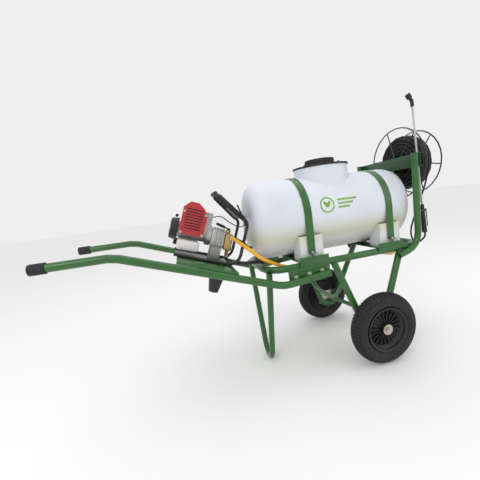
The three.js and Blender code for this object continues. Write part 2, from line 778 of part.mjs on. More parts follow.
function addPowerUnit() {
  const unit = new THREE.Group();
  unit.position.copy(unitOrigin);
  unit.rotation.y = SLOPE;
  addPlatform(unit);
  addEngine(unit);
  addPump(unit);
  addCarryFrame(unit);
  cart.add(unit);
}

function addPlatform(unit) {
  const top = -TRAY_TUBE_R - GAP;
  const foot = -UNIT_LIFT + TUBE_R + GAP;
  const plate = join(
    box([-117, 165], [-262, 262], [top - 3, top]),
    box([-117, 165], [-262, -259], [foot, top - 1]),
    box([-117, 165], [259, 262], [foot, top - 1]),
  );
  add(unit, "platform", plate, GREEN);
  const bowl = join(
    rod([90, -122, top - 3 - GAP], [90, -122, -82], 38, 16, 36),
    rod([90, -122, -81], [90, -122, -146], 36, 16, 24),
  );
  add(unit, "strainer_bowl", bowl, BLACK);
}

function addCarryFrame(unit) {
  const y = TRAY_Y;
  const corners = [
    [-134, -y, 0],
    [190, -y, 0, 58],
    [190, -y, 226, 38],
    [4, -74, 334, 30],
    [4, 74, 334, 30],
    [190, y, 226, 38],
    [190, y, 0, 58],
    [-134, y, 0],
  ];
  const tray = box([-128, 100], [-y, y], [-5, -2]);
  add(unit, "carry_frame", join(tube(corners, TRAY_TUBE_R, { sides: 8 }), tray), BLACK);
  const clamp = rod([176, -y - 10, 214], [176, -y - 22, 214], 9, 12);
  const leverY = -y - 16;
  const lever = tube([[176, leverY, 214], [138, leverY, 268, 20], [112, leverY, 300]], 4, { sides: 8 });
  add(unit, "throttle_lever", join(clamp, lever), BLACK);
}

function addEngine(unit) {
  const centre = (u) => [u, SHAFT_V, SHAFT_W];
  add(unit, "recoil_starter", rod(centre(-176), centre(-140), 52, 24, 58), BLACK);
  add(unit, "starter_handle", softBox([-165, -149], [-12, 44], [176.6, 192], 5), BLACK);

  const block = join(
    rod(centre(-139.7), centre(28), 40, 20),
    rod(centre(4), centre(28), 52, 24),
    box([-112, -42], [SHAFT_V - 34, SHAFT_V + 34], [SHAFT_W, 230]),
    box([-20, 18], [SHAFT_V - 40, SHAFT_V + 40], [SHAFT_W, 232]),
  );
  add(unit, "engine_block", block, ALUMINIUM);

  const hood = [
    v2(-134, 104),
    v2(-14, 104),
    v2(-14, 216),
    v2(-32, 242),
    v2(-64, 266),
    v2(-104, 266),
    v2(-134, 236),
  ];
  const cavity = [
    v2(-129, 90),
    v2(-19, 90),
    v2(-19, 214),
    v2(-36, 238),
    v2(-66, 260),
    v2(-102, 260),
    v2(-129, 233),
  ];
  const cover = cut(
    alongY(hood, [-98, 50]),
    alongY(cavity, [-92, 60]),
    rod(centre(-150), centre(10), 40 + GAP, 20),
    box([-20 - GAP, 18 + GAP], [SHAFT_V - 40 - GAP, SHAFT_V + 40 + GAP], [SHAFT_W, 232 + GAP]),
  );
  add(unit, "engine_cover", cover, RED);

  const tank = cut(
    softBox([-132, -22], [-96, 78], [24, 76], 12),
    softBox([-129, -25], [-93, 75], [27, 73], 9),
    rod([-140, 52, 48], [-120, 52, 48], 12, 12),
  );
  add(unit, "fuel_tank", tank, FUEL_WHITE);
  add(unit, "fuel_cap", rod([-150, 52, 48], [-132.3, 52, 48], 18, 14), BLACK);
}

function addPump(unit) {
  const fins = [44, 58, 72, 86].map((u) => box([u, u + 5], [-84, 44], [66, 166]));
  const gearbox = join(
    softBox([28.3, 100], [-76, 36], [72, 158], 8),
    ...fins,
    box([40, 94], [-60, 24], [-1.7, 74]),
  );
  add(unit, "gearbox", gearbox, ALUMINIUM);

  const head = join(
    softBox([100.3, 140], [-78, 38], [62, 148], 6),
    rod([126, -52, 70], [126, -52, 38], 10, 12),
    rod([128, -70, 133], [128, -98, 133], 12, 6),
    rod([118, -20, 146], [118, -20, 166], 13, 8),
  );
  add(unit, "pump_head", head, BRASS);
  const lever = join(
    rod([118, -20, 166.3], [118, -20, 176], 9, 12),
    rod([118, -20, 171], [84, -62, 178], 4, 8),
    rod([86, -60, 177.6], [38, -116, 187], 7, 10),
  );
  add(unit, "pressure_lever", lever, BLACK);
}

// ---- hoses and cable; each lies free between the fittings named here

function addHoses() {
  const delivery = [
    fromUnit(128, -101, 133),
    fromUnit(131, -116, 131),
    [-236, -132, 713],
    [-189, -146, 668],
    [-135, -152, 616],
    [-82, -142, 584],
    [-12, -122, 548],
    [60, -104, 530],
    [300, -100, 534],
    [500, -122, 538],
    [600, -130, 520],
    [690, -96, 498],
    [790, 0, 492],
    [838, 60, 560],
    [834, 84, 700],
    [826, 70, 860],
    [813, 8, 940],
    [812, 0, 966],
    [812, 0, REEL_Z - 45],
  ];
  add(cart, "delivery_hose", hose(delivery, 9.5, 44), YELLOW);

  const suction = [
    fromUnit(126, -52, 36),
    fromUnit(128, -52, 22),
    fromUnit(150, -56, 6),
    [-262, -86, 603],
    [-217, -104, 598],
    [-130, -104, 592],
    [-62, -90, 574],
    [-24, -83, 566],
    [TANK_OUTLET.x, TANK_OUTLET.y, 576],
    [TANK_OUTLET.x, TANK_OUTLET.y, TANK_OUTLET.z - 1],
  ];
  add(cart, "suction_hose", hose(suction, 10, 20), BLACK);

  const bypass = [
    fromUnit(142, -32, 128),
    fromUnit(154, -32, 130),
    fromUnit(180, -36, 126),
    [-184, -34, 684],
    [-168, -30, 664],
    [TANK_BACK_X - 1.5, -30, 662],
  ];
  add(cart, "bypass_hose", hose(bypass, 6.5, 12), BLACK);

  const cable = [
    fromUnit(19.5, -44, 214),
    fromUnit(52, -70, 226),
    fromUnit(110, -100, 204),
    fromUnit(150, -124, 196),
    fromUnit(165, -128, 205),
  ];
  add(cart, "throttle_cable", hose(cable, 2.5, 14), BLACK);
}

/** The free end of the spray hose, from the reel down to the tail of the gun. */
function addSprayHose() {
  const route = [
    [918, -156, 952],
    [914, -150, 925],
    [906, -146, 888],
    [892, -141, 845],
    [850, -136, 750],
    [830, -108, 640],
    [828, -106, 585],
    [826, -126, 556],
    [822, -166, 556],
    [819, -203, 584],
    [GUN_FOOT.x, GUN_FOOT.y - 1, GUN_FOOT.z - 14],
    [GUN_FOOT.x, GUN_FOOT.y, GUN_FOOT.z - 1],
  ];
  add(cart, "spray_hose", hose(route, 5, 26), BLACK);
}

addChassis();
addForks();
addStand();
addHandles();
addPosts();
addSaddles();
addTank();
addStraps();
addWheels();
addReel();
addGun();
addPowerUnit();
addHoses();
addSprayHose();

export default cart;
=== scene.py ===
"""Wheeled sprayer cart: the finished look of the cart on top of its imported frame.

Metres, +Z up, +X from the handles to the hose reel, -Y the side of the spray gun.
"""

import json
import logging
import math
from dataclasses import dataclass
from enum import Enum

import bmesh
import bpy
from mathutils import Matrix, Vector

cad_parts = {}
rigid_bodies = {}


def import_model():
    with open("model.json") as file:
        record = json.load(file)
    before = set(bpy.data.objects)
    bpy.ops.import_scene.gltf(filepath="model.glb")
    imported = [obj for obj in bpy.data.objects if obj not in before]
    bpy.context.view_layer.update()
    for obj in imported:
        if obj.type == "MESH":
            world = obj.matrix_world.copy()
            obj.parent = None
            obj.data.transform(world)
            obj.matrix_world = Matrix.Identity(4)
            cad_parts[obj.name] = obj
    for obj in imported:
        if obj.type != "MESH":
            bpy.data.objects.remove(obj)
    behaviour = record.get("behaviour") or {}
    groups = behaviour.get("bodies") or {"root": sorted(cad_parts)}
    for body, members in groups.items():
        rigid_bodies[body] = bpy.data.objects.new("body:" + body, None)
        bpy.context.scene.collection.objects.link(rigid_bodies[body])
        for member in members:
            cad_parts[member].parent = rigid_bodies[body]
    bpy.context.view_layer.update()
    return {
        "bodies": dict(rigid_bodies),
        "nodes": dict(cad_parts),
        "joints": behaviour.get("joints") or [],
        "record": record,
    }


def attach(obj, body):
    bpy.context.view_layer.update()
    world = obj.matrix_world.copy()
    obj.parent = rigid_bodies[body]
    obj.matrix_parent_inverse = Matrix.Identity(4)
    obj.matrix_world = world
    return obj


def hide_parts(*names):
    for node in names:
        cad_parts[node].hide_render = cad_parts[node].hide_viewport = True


LOG = logging.getLogger("sprayer_cart")
Point = tuple[float, float, float]


# ---------------------------------------------------------------- finishes


class Bumps(Enum):
    """The kinds of small relief that a surface can have."""

    ORANGE_PEEL = "orange peel"
    GRAIN = "grain"
    CAST = "cast"
    BRUSHED = "brushed"


@dataclass(frozen=True)
class Relief:
    """Scale and depth of one kind of relief.

    Fields: scale is the number of bumps in a metre, depth is in metres.
    """

    scale: float
    depth: float
    strength: float


RELIEFS = {
    Bumps.ORANGE_PEEL: Relief(260.0, 0.0003, 0.10),
    Bumps.GRAIN: Relief(900.0, 0.0004, 0.25),
    Bumps.CAST: Relief(420.0, 0.0008, 0.45),
    Bumps.BRUSHED: Relief(700.0, 0.0002, 0.15),
}


@dataclass(frozen=True)
class Finish:
    """A finish whose colour and gloss vary over the surface, with worn or dusty patches."""

    name: str
    color: Point
    shade: Point
    roughness: tuple[float, float]
    relief: Bumps
    metallic: float = 0.0
    coat: float = 0.0
    patches: float = 9.0
    edge: Point | None = None

    def material(self) -> bpy.types.Material:
        """Builds the material.

        Returns:
            The material, with its colour, roughness and bump from nodes.
        """
        made = bpy.data.materials.new(self.name)
        made.use_nodes = True
        tree = made.node_tree
        shader = tree.nodes["Principled BSDF"]
        shader.inputs["Metallic"].default_value = self.metallic
        shader.inputs["Coat Weight"].default_value = self.coat
        shader.inputs["Coat Roughness"].default_value = 0.12
        place = tree.nodes.new("ShaderNodeTexCoord").outputs["Object"]
        cloud = self.noise(tree, place, self.patches, 5.0)
        color = self.ramp(tree, cloud, self.shade, self.color)
        color = self.second_colour(tree, place, color)
        tree.links.new(color, shader.inputs["Base Color"])
        gloss = tree.nodes.new("ShaderNodeMapRange")
        gloss.inputs["To Min"].default_value = self.roughness[0]
        gloss.inputs["To Max"].default_value = self.roughness[1]
        smear = self.noise(tree, place, self.patches * 4.0, 8.0)
        tree.links.new(smear, gloss.inputs["Value"])
        tree.links.new(gloss.outputs["Result"], shader.inputs["Roughness"])
        relief = RELIEFS[self.relief]
        bump = tree.nodes.new("ShaderNodeBump")
        bump.inputs["Strength"].default_value = relief.strength
        bump.inputs["Distance"].default_value = relief.depth
        tree.links.new(self.noise(tree, place, relief.scale, 3.0), bump.inputs["Height"])
        tree.links.new(bump.outputs["Normal"], shader.inputs["Normal"])
        return made

    def second_colour(
        self, tree: bpy.types.NodeTree, place: bpy.types.NodeSocket, color: bpy.types.NodeSocket
    ) -> bpy.types.NodeSocket:
        """Lays fine specks of the edge colour over the first one.

        Args:
            tree: the material's nodes.
            place: the object coordinates.
            color: the first colour.

        Returns:
            The colour with its specks.
        """
        if self.edge is None:
            return color
        specks = self.noise(tree, place, 55.0, 9.0)
        where = tree.nodes.new("ShaderNodeMapRange")
        where.inputs["From Min"].default_value = 0.64
        where.inputs["From Max"].default_value = 0.72
        tree.links.new(specks, where.inputs["Value"])
        mix = tree.nodes.new("ShaderNodeMix")
        mix.data_type = "RGBA"
        tree.links.new(where.outputs["Result"], mix.inputs["Factor"])
        tree.links.new(color, mix.inputs[6])
        mix.inputs[7].default_value = (*self.edge, 1.0)
        return mix.outputs[2]

    @staticmethod
    def noise(
        tree: bpy.types.NodeTree, place: bpy.types.NodeSocket, scale: float, detail: float
    ) -> bpy.types.NodeSocket:
        """Adds a noise texture.

        Args:
            tree: the material's nodes.
            place: the coordinates it reads.
            scale: patches in a metre.
            detail: octaves.

        Returns:
            The noise from 0 to 1.
        """
        node = tree.nodes.new("ShaderNodeTexNoise")
        node.inputs["Scale"].default_value = scale
        node.inputs["Detail"].default_value = detail
        tree.links.new(place, node.inputs["Vector"])
        return node.outputs[0]

    @staticmethod
    def ramp(
        tree: bpy.types.NodeTree, value: bpy.types.NodeSocket, low: Point, high: Point
    ) -> bpy.types.NodeSocket:
        """Adds a ramp between two colours.

        Args:
            tree: the material's nodes.
            value: what drives the ramp.
            low: the first colour.
            high: the last colour.

        Returns:
            The colour.
        """
        node = tree.nodes.new("ShaderNodeValToRGB")
        node.color_ramp.elements[0].position = 0.30
        node.color_ramp.elements[0].color = (*low, 1.0)
        node.color_ramp.elements[1].position = 0.62
        node.color_ramp.elements[1].color = (*high, 1.0)
        tree.links.new(value, node.inputs["Fac"])
        return node.outputs["Color"]


@dataclass(frozen=True)
class TankFinish(Finish):
    """Milky moulded plastic, darker and warmer where the liquid stands behind it."""

    liquid: Point = (0.60, 0.60, 0.47)
    liquid_top: float = 0.80
    fade: float = 0.11
    feet_top: float = 0.67

    def second_colour(
        self, tree: bpy.types.NodeTree, place: bpy.types.NodeSocket, color: bpy.types.NodeSocket
    ) -> bpy.types.NodeSocket:
        """Blends the plastic into the liquid's colour below the liquid's level.

        Args:
            tree: the material's nodes.
            place: the object coordinates.
            color: the plastic's own colour.

        Returns:
            The blended colour.
        """
        axes = tree.nodes.new("ShaderNodeSeparateXYZ")
        tree.links.new(place, axes.inputs["Vector"])
        depth = tree.nodes.new("ShaderNodeMapRange")
        depth.interpolation_type = "SMOOTHSTEP"
        depth.inputs["From Min"].default_value = self.liquid_top
        depth.inputs["From Max"].default_value = self.liquid_top - self.fade
        tree.links.new(axes.outputs["Z"], depth.inputs["Value"])
        dry = tree.nodes.new("ShaderNodeMapRange")
        dry.interpolation_type = "SMOOTHSTEP"
        dry.inputs["From Min"].default_value = self.feet_top - 0.03
        dry.inputs["From Max"].default_value = self.feet_top + 0.03
        dry.inputs["To Min"].default_value = 0.35
        tree.links.new(axes.outputs["Z"], dry.inputs["Value"])
        both = tree.nodes.new("ShaderNodeMath")
        both.operation = "MULTIPLY"
        tree.links.new(depth.outputs["Result"], both.inputs[0])
        tree.links.new(dry.outputs["Result"], both.inputs[1])
        mix = tree.nodes.new("ShaderNodeMix")
        mix.data_type = "RGBA"
        tree.links.new(both.outputs["Value"], mix.inputs["Factor"])
        tree.links.new(color, mix.inputs[6])
        mix.inputs[7].default_value = (*self.liquid, 1.0)
        return mix.outputs[2]


FINISHES: dict[str, Finish] = {
    "green_paint": Finish(
        "green_paint", (0.018, 0.120, 0.014), (0.011, 0.080, 0.009), (0.24, 0.40), Bumps.ORANGE_PEEL,
        coat=0.3, edge=(0.030, 0.165, 0.028),
    ),
    "black_paint": Finish(
        "black_paint", (0.010, 0.010, 0.011), (0.005, 0.005, 0.0055), (0.28, 0.48), Bumps.ORANGE_PEEL,
        coat=0.15, edge=(0.045, 0.045, 0.045),
    ),
    "tank_plastic": TankFinish(
        "tank_plastic", (0.70, 0.73, 0.80), (0.62, 0.65, 0.72), (0.38, 0.52), Bumps.GRAIN, patches=3.0,
    ),
    "fuel_tank_plastic": Finish(
        "fuel_tank_plastic", (0.76, 0.72, 0.73), (0.60, 0.56, 0.55), (0.36, 0.52), Bumps.GRAIN,
    ),
    "black_plastic": Finish(
        "black_plastic", (0.010, 0.010, 0.011), (0.006, 0.006, 0.0065), (0.38, 0.60), Bumps.GRAIN,
        edge=(0.050, 0.050, 0.050),
    ),
    "red_plastic": Finish(
        "red_plastic", (0.52, 0.012, 0.024), (0.38, 0.007, 0.015), (0.22, 0.38), Bumps.ORANGE_PEEL,
        coat=0.3,
    ),
    "tyre_rubber": Finish(
        "tyre_rubber", (0.012, 0.011, 0.011), (0.007, 0.0065, 0.0065), (0.58, 0.80), Bumps.GRAIN,
        edge=(0.070, 0.062, 0.054),
    ),
    "grip_rubber": Finish(
        "grip_rubber", (0.011, 0.011, 0.012), (0.006, 0.006, 0.0065), (0.55, 0.78), Bumps.GRAIN,
        edge=(0.055, 0.052, 0.050),
    ),
    "black_hose": Finish(
        "black_hose", (0.009, 0.009, 0.010), (0.005, 0.005, 0.0055), (0.34, 0.52), Bumps.GRAIN,
        edge=(0.060, 0.060, 0.062),
    ),
    "yellow_hose": Finish(
        "yellow_hose", (0.90, 0.48, 0.012), (0.76, 0.35, 0.008), (0.28, 0.44), Bumps.GRAIN,
    ),
    "cast_aluminium": Finish(
        "cast_aluminium", (0.52, 0.52, 0.51), (0.34, 0.34, 0.335), (0.36, 0.60), Bumps.CAST,
        metallic=0.85, edge=(0.22, 0.21, 0.20),
    ),
    "pump_brass": Finish(
        "pump_brass", (0.56, 0.40, 0.17), (0.38, 0.25, 0.10), (0.28, 0.50), Bumps.CAST,
        metallic=0.9, edge=(0.24, 0.15, 0.06),
    ),
    "zinc_steel": Finish(
        "zinc_steel", (0.60, 0.58, 0.50), (0.44, 0.41, 0.34), (0.26, 0.46), Bumps.BRUSHED,
        metallic=0.9, edge=(0.36, 0.30, 0.18),
    ),
    # The green paint darkened to about half, for the reel beam: painted shade in place of the shadow that
    # falls on it.
    "green_paint_painted_shade": Finish(
        "green_paint_painted_shade", (0.009, 0.062, 0.013), (0.006, 0.042, 0.009), (0.28, 0.46),
        Bumps.ORANGE_PEEL, coat=0.2, edge=(0.016, 0.090, 0.022),
    ),
    "emblem_print": Finish(
        "emblem_print", (0.22, 0.42, 0.04), (0.14, 0.30, 0.03), (0.40, 0.52), Bumps.GRAIN,
    ),
}


class Paintbox:
    """Makes each finish once and puts it on the pieces."""

    def __init__(self, record: dict) -> None:
        """Reads which slot each node takes its finish from.

        Args:
            record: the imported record.
        """
        self.slot_of = {row["node"]: row["material_slot"] for row in record["subparts"]}
        self.made: dict[str, bpy.types.Material] = {}

    def dress(self, piece: bpy.types.Object, slot: str, finish: str | None = None) -> None:
        """Gives a piece its finish: the slot's own, unless another finish is given.

        Args:
            piece: the piece.
            slot: the record's material slot.
            finish: the finish, where it isn't the slot's own.
        """
        name = finish or slot
        if name not in self.made:
            self.made[name] = FINISHES[name].material()
        piece.data.materials.clear()
        piece.data.materials.append(self.made[name])


# ---------------------------------------------------------------- workshop


def deselect_all() -> None:
    """Deselects everything."""
    for other in bpy.context.view_layer.objects:
        other.select_set(False)


def select_only(*objects: bpy.types.Object) -> None:
    """Deselects everything but these, and makes the first one active."""
    deselect_all()
    for one in objects:
        one.hide_set(False)
        one.select_set(True)
    bpy.context.view_layer.objects.active = objects[0]


def apply_all(piece: bpy.types.Object) -> None:
    """Applies every modifier of a piece, in order."""
    select_only(piece)
    for modifier in list(piece.modifiers):
        bpy.ops.object.modifier_apply(modifier=modifier.name)


def rounded(piece: bpy.types.Object, width: float, segments: int = 2) -> None:
    """Rounds a piece's sharp edges.

    Args:
        piece: the piece.
        width: the round's width.
        segments: its number of steps.
    """
    bevel = piece.modifiers.new("round", "BEVEL")
    bevel.width = width
    bevel.segments = segments
    bevel.limit_method = "ANGLE"
    bevel.angle_limit = math.radians(38)
    apply_all(piece)


def smooth(piece: bpy.types.Object, angle: float = 40.0) -> None:
    """Shades a piece smooth up to an angle in degrees."""
    select_only(piece)
    bpy.ops.object.shade_smooth_by_angle(angle=math.radians(angle))


def settle(piece: bpy.types.Object, name: str) -> bpy.types.Object:
    """Names a piece and puts its place into its mesh.

    Args:
        piece: the piece.
        name: its name.

    Returns:
        The piece.
    """
    piece.name = name
    piece.data.name = name
    select_only(piece)
    bpy.ops.object.transform_apply(location=True, rotation=True, scale=True)
    return piece


def joined(pieces: list[bpy.types.Object], name: str) -> bpy.types.Object:
    """Joins pieces into one.

    Args:
        pieces: the pieces.
        name: the name of the whole.

    Returns:
        The joined piece.
    """
    for piece in pieces:
        settle(piece, piece.name)
    select_only(*pieces)
    bpy.ops.object.join()
    return settle(pieces[0], name)


def copy_of(piece: bpy.types.Object, place: Matrix) -> bpy.types.Object:
    """Copies a piece with its own mesh to another place.

    Args:
        piece: the piece.
        place: where the copy goes, seen from the piece's own place.

    Returns:
        The copy.
    """
    twin = piece.copy()
    twin.data = piece.data.copy()
    bpy.context.scene.collection.objects.link(twin)
    twin.matrix_world = place @ piece.matrix_world
    return twin


def standing(axis: Point) -> tuple[float, float, float]:
    """The turn that stands a piece made along +Z on an axis."""
    return tuple(Vector((0, 0, 1)).rotation_difference(Vector(axis)).to_euler())


def hex_bolt(place: Point, axis: Point, across: float = 0.013) -> bpy.types.Object:
    """A hexagonal bolt head on its washer.

    Args:
        place: the middle of the washer's underside.
        axis: the way the head points.
        across: the head's size over its corners.

    Returns:
        The bolt.
    """
    along = Vector(axis).normalized()
    bpy.ops.mesh.primitive_cylinder_add(
        vertices=20, radius=across * 0.8, depth=0.0016, location=Vector(place) + along * 0.0008,
        rotation=standing(axis),
    )
    washer = bpy.context.object
    bpy.ops.mesh.primitive_cylinder_add(
        vertices=6, radius=across / 2, depth=0.006, location=Vector(place) + along * 0.0046,
        rotation=standing(axis),
    )
    head = bpy.context.object
    rounded(head, 0.0006)
    return joined([washer, head], "bolt")


class Frame:
    """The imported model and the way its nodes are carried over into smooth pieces."""

    def __init__(self, frame: dict) -> None:
        """Keeps the frame and its paintbox.
        """
        self.nodes = frame["nodes"]
        self.paints = Paintbox(frame["record"])
        self.body_of = {
            node: body
            for body, members in frame["record"]["behaviour"]["bodies"].items()
            for node in members
        }

    def carry_over(self, node: str, edge: float = 0.0) -> bpy.types.Object:
        """Copies a node into one smooth closed piece that stands for it.

        Args:
            node: the node's name.
            edge: how far its sharp edges are rounded.

        Returns:
            The piece.
        """
        source = self.nodes[node]
        piece = bpy.data.objects.new(f"{node}_skin", source.data.copy())
        bpy.context.scene.collection.objects.link(piece)
        select_only(piece)
        bpy.ops.object.mode_set(mode="EDIT")
        bpy.ops.mesh.select_all(action="SELECT")
        bpy.ops.mesh.remove_doubles(threshold=1e-6)
        bpy.ops.mesh.customdata_custom_splitnormals_clear()
        if edge:
            bpy.ops.mesh.dissolve_limited(angle_limit=math.radians(0.5))
        bpy.ops.object.mode_set(mode="OBJECT")
        if edge:
            rounded(piece, edge)
        smooth(piece)
        self.paints.dress(piece, self.paints.slot_of[node], OWN_FINISHES.get(node))
        self.mount(piece, node)
        return piece

    def mount(self, piece: bpy.types.Object, *stands_for: str, body: str = "") -> None:
        """Makes a piece ride on its body, in place of some nodes.

        Args:
            piece: the piece.
            stands_for: the nodes that it stands for.
            body: the body, where the piece stands for no node.
        """
        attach(piece, body or self.body_of[stands_for[0]])
        if stands_for:
            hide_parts(*stands_for)
        LOG.info("%s: %d faces", piece.name, len(getattr(piece.data, "polygons", ())))

    def add(self, piece: bpy.types.Object, name: str, slot: str, body: str, finish: str = "") -> None:
        """Finishes a new piece that stands for no node.

        Args:
            piece: the piece.
            name: its name.
            slot: its material slot.
            body: the body it rides on.
            finish: its finish, where it isn't the slot's own.
        """
        settle(piece, name)
        smooth(piece)
        self.paints.dress(piece, slot, finish or None)
        self.mount(piece, body=body)


# ---------------------------------------------------------------- camera, light and floor


@dataclass
class Studio:
    """The camera, the floor and the soft light."""

    eye: Point = (-0.4964, -1.4532, 0.8977)
    right: Point = (0.95996, -0.25067, -0.12505)
    up: Point = (0.15181, 0.09035, 0.98427)
    forward: Point = (0.23543, 0.96385, -0.12478)
    lens: float = 20.4
    shift: tuple[float, float] = (-11 / 480, -2 / 480)
    floor_size: float = 60.0

    def build_camera(self) -> None:
        """Puts the camera in front of the cart's near side."""
        camera = bpy.data.cameras.new("camera")
        camera.lens = self.lens
        camera.sensor_width = 36.0
        camera.shift_x, camera.shift_y = self.shift
        body = bpy.data.objects.new("camera", camera)
        bpy.context.scene.collection.objects.link(body)
        axes = Matrix((self.right, self.up, [-x for x in self.forward])).transposed()
        body.matrix_world = Matrix.Translation(self.eye) @ axes.to_4x4()
        bpy.context.scene.camera = body

    def build_floor(self) -> None:
        """Lays a plain pale floor."""
        deselect_all()
        bpy.ops.mesh.primitive_plane_add(size=self.floor_size, location=(0, 0, 0))
        floor = bpy.context.object
        floor.name = "floor"
        pale = bpy.data.materials.new("floor")
        pale.use_nodes = True
        shader = pale.node_tree.nodes["Principled BSDF"]
        shader.inputs["Base Color"].default_value = (0.93, 0.93, 0.93, 1.0)
        shader.inputs["Roughness"].default_value = 0.9
        floor.data.materials.append(pale)

    def build_light(self) -> None:
        """Lights the cart from a pale sky and large soft lamps."""
        world = bpy.data.worlds.new("sky")
        world.use_nodes = True
        sky = world.node_tree.nodes["Background"]
        sky.inputs["Color"].default_value = (1.0, 1.0, 1.0, 1.0)
        sky.inputs["Strength"].default_value = 0.86
        bpy.context.scene.world = world
        bpy.context.scene.view_settings.view_transform = "Standard"
        for name, place, size, power in (
            ("key", (-2.2, -2.6, 3.2), 1.6, 30.0),
            ("fill", (2.8, -2.0, 2.2), 2.4, 14.0),
            ("top", (0.2, 0.6, 3.6), 3.0, 20.0),
        ):
            lamp = bpy.data.lights.new(name, "AREA")
            lamp.size = size
            lamp.energy = power
            holder = bpy.data.objects.new(name, lamp)
            bpy.context.scene.collection.objects.link(holder)
            holder.location = place
            aim = Vector((0.1, 0.0, 0.6)) - Vector(place)
            holder.rotation_euler = aim.to_track_quat("-Z", "Y").to_euler()


# ---------------------------------------------------------------- hose on the reel and its free end


@dataclass
class ReelHose:
    """The black spray hose: its turns on the reel and its free end down to the gun."""

    diameter: float = 0.010
    axis_z: float = 1.025
    first_radius: float = 0.066
    layer_step: float = 0.0118
    layers: int = 9
    turns_in_layer: float = 8.0
    crossing: float = 0.25
    back_x: float = 0.8765
    front_x: float = 0.9585
    points_in_turn: int = 20
    wound_roundness: int = 1
    free_roundness: int = 4
    free_route: tuple[Point, ...] = (
        (0.918, -0.156, 0.952),
        (0.914, -0.150, 0.925),
        (0.906, -0.146, 0.888),
        (0.892, -0.141, 0.845),
        (0.850, -0.136, 0.750),
        (0.830, -0.108, 0.640),
        (0.828, -0.106, 0.585),
        (0.826, -0.126, 0.556),
        (0.822, -0.166, 0.556),
        (0.819, -0.203, 0.584),
        (0.818, -0.211, 0.601),
        (0.818, -0.210, 0.614),
    )

    def wound_line(self) -> list[Vector]:
        """The centre line of the wound turns, layer on layer, up to where the free end leaves.

        Returns:
            The points, from the drum outwards.
        """
        leave = Vector(self.free_route[0])
        pitch = (self.front_x - self.back_x) / (self.turns_in_layer - self.crossing)
        last_turns = (leave.x - self.back_x) / pitch
        total = self.turns_in_layer * (self.layers - 1) + last_turns
        end_angle = math.atan2(leave.z - self.axis_z, leave.y)
        end_radius = math.hypot(leave.z - self.axis_z, leave.y)
        count = round(total * self.points_in_turn)
        line = []
        for i in range(count + 1):
            turn = total * i / count
            layer = min(int(turn / self.turns_in_layer), self.layers - 1)
            inside = turn - layer * self.turns_in_layer
            along = min(inside * pitch, self.front_x - self.back_x)
            x = self.back_x + along if layer % 2 == 0 else self.front_x - along
            climb = max(0.0, inside - self.turns_in_layer + self.crossing) / self.crossing
            radius = self.first_radius + self.layer_step * (layer + climb)
            outward = max(0.0, turn - total + 0.5) / 0.5
            radius += (end_radius - radius) * outward**2
            angle = end_angle + 2 * math.pi * (turn - total)
            line.append(Vector((x, radius * math.cos(angle), self.axis_z + radius * math.sin(angle))))
        return line

    def hose(self, name: str, line: list[Vector], roundness: int) -> bpy.types.Object:
        """A round hose along a line.

        Args:
            name: the piece's name.
            line: its points.
            roundness: the steps in a quarter of its section.

        Returns:
            The curve.
        """
        curve = bpy.data.curves.new(name, "CURVE")
        curve.dimensions = "3D"
        curve.bevel_depth = self.diameter / 2
        curve.bevel_resolution = roundness
        curve.use_fill_caps = True
        spline = curve.splines.new("POLY")
        spline.points.add(len(line) - 1)
        for point, place in zip(spline.points, line):
            point.co = (*place, 1.0)
        piece = bpy.data.objects.new(name, curve)
        bpy.context.scene.collection.objects.link(piece)
        return piece

    def build(self, frame: Frame) -> None:
        """Makes both stretches of the hose.

        Args:
            frame: the cart's frame.
        """
        line = self.wound_line()
        wound = self.hose("wound_hose", line, self.wound_roundness)
        frame.paints.dress(wound, "black_hose")
        frame.mount(wound, "hose_pack")
        free_line = self.smooth_line()
        free = self.hose("free_hose", free_line, self.free_roundness)
        frame.paints.dress(free, "black_hose")
        frame.mount(free, "spray_hose")

    def smooth_line(self, steps: int = 5) -> list[Vector]:
        """Rounds the free end's route off.

        Args:
            steps: points between two of the route's own.

        Returns:
            The points.
        """
        route = [Vector(p) for p in self.free_route]
        ends = [2 * route[0] - route[1], *route, 2 * route[-1] - route[-2]]
        line = []
        for a, b, c, d in zip(ends, ends[1:], ends[2:], ends[3:]):
            for i in range(steps):
                t = i / steps
                line.append(
                    0.5 * ((2 * b) + (c - a) * t + (2 * a - 5 * b + 4 * c - d) * t**2
                           + (3 * b - a - 3 * c + d) * t**3)
                )
        return [*line, route[-1]]

    @staticmethod
    def length(line: list[Vector]) -> float:
        """The length of a line of points."""
        return sum((b - a).length for a, b in zip(line, line[1:]))


# ---------------------------------------------------------------- wheels


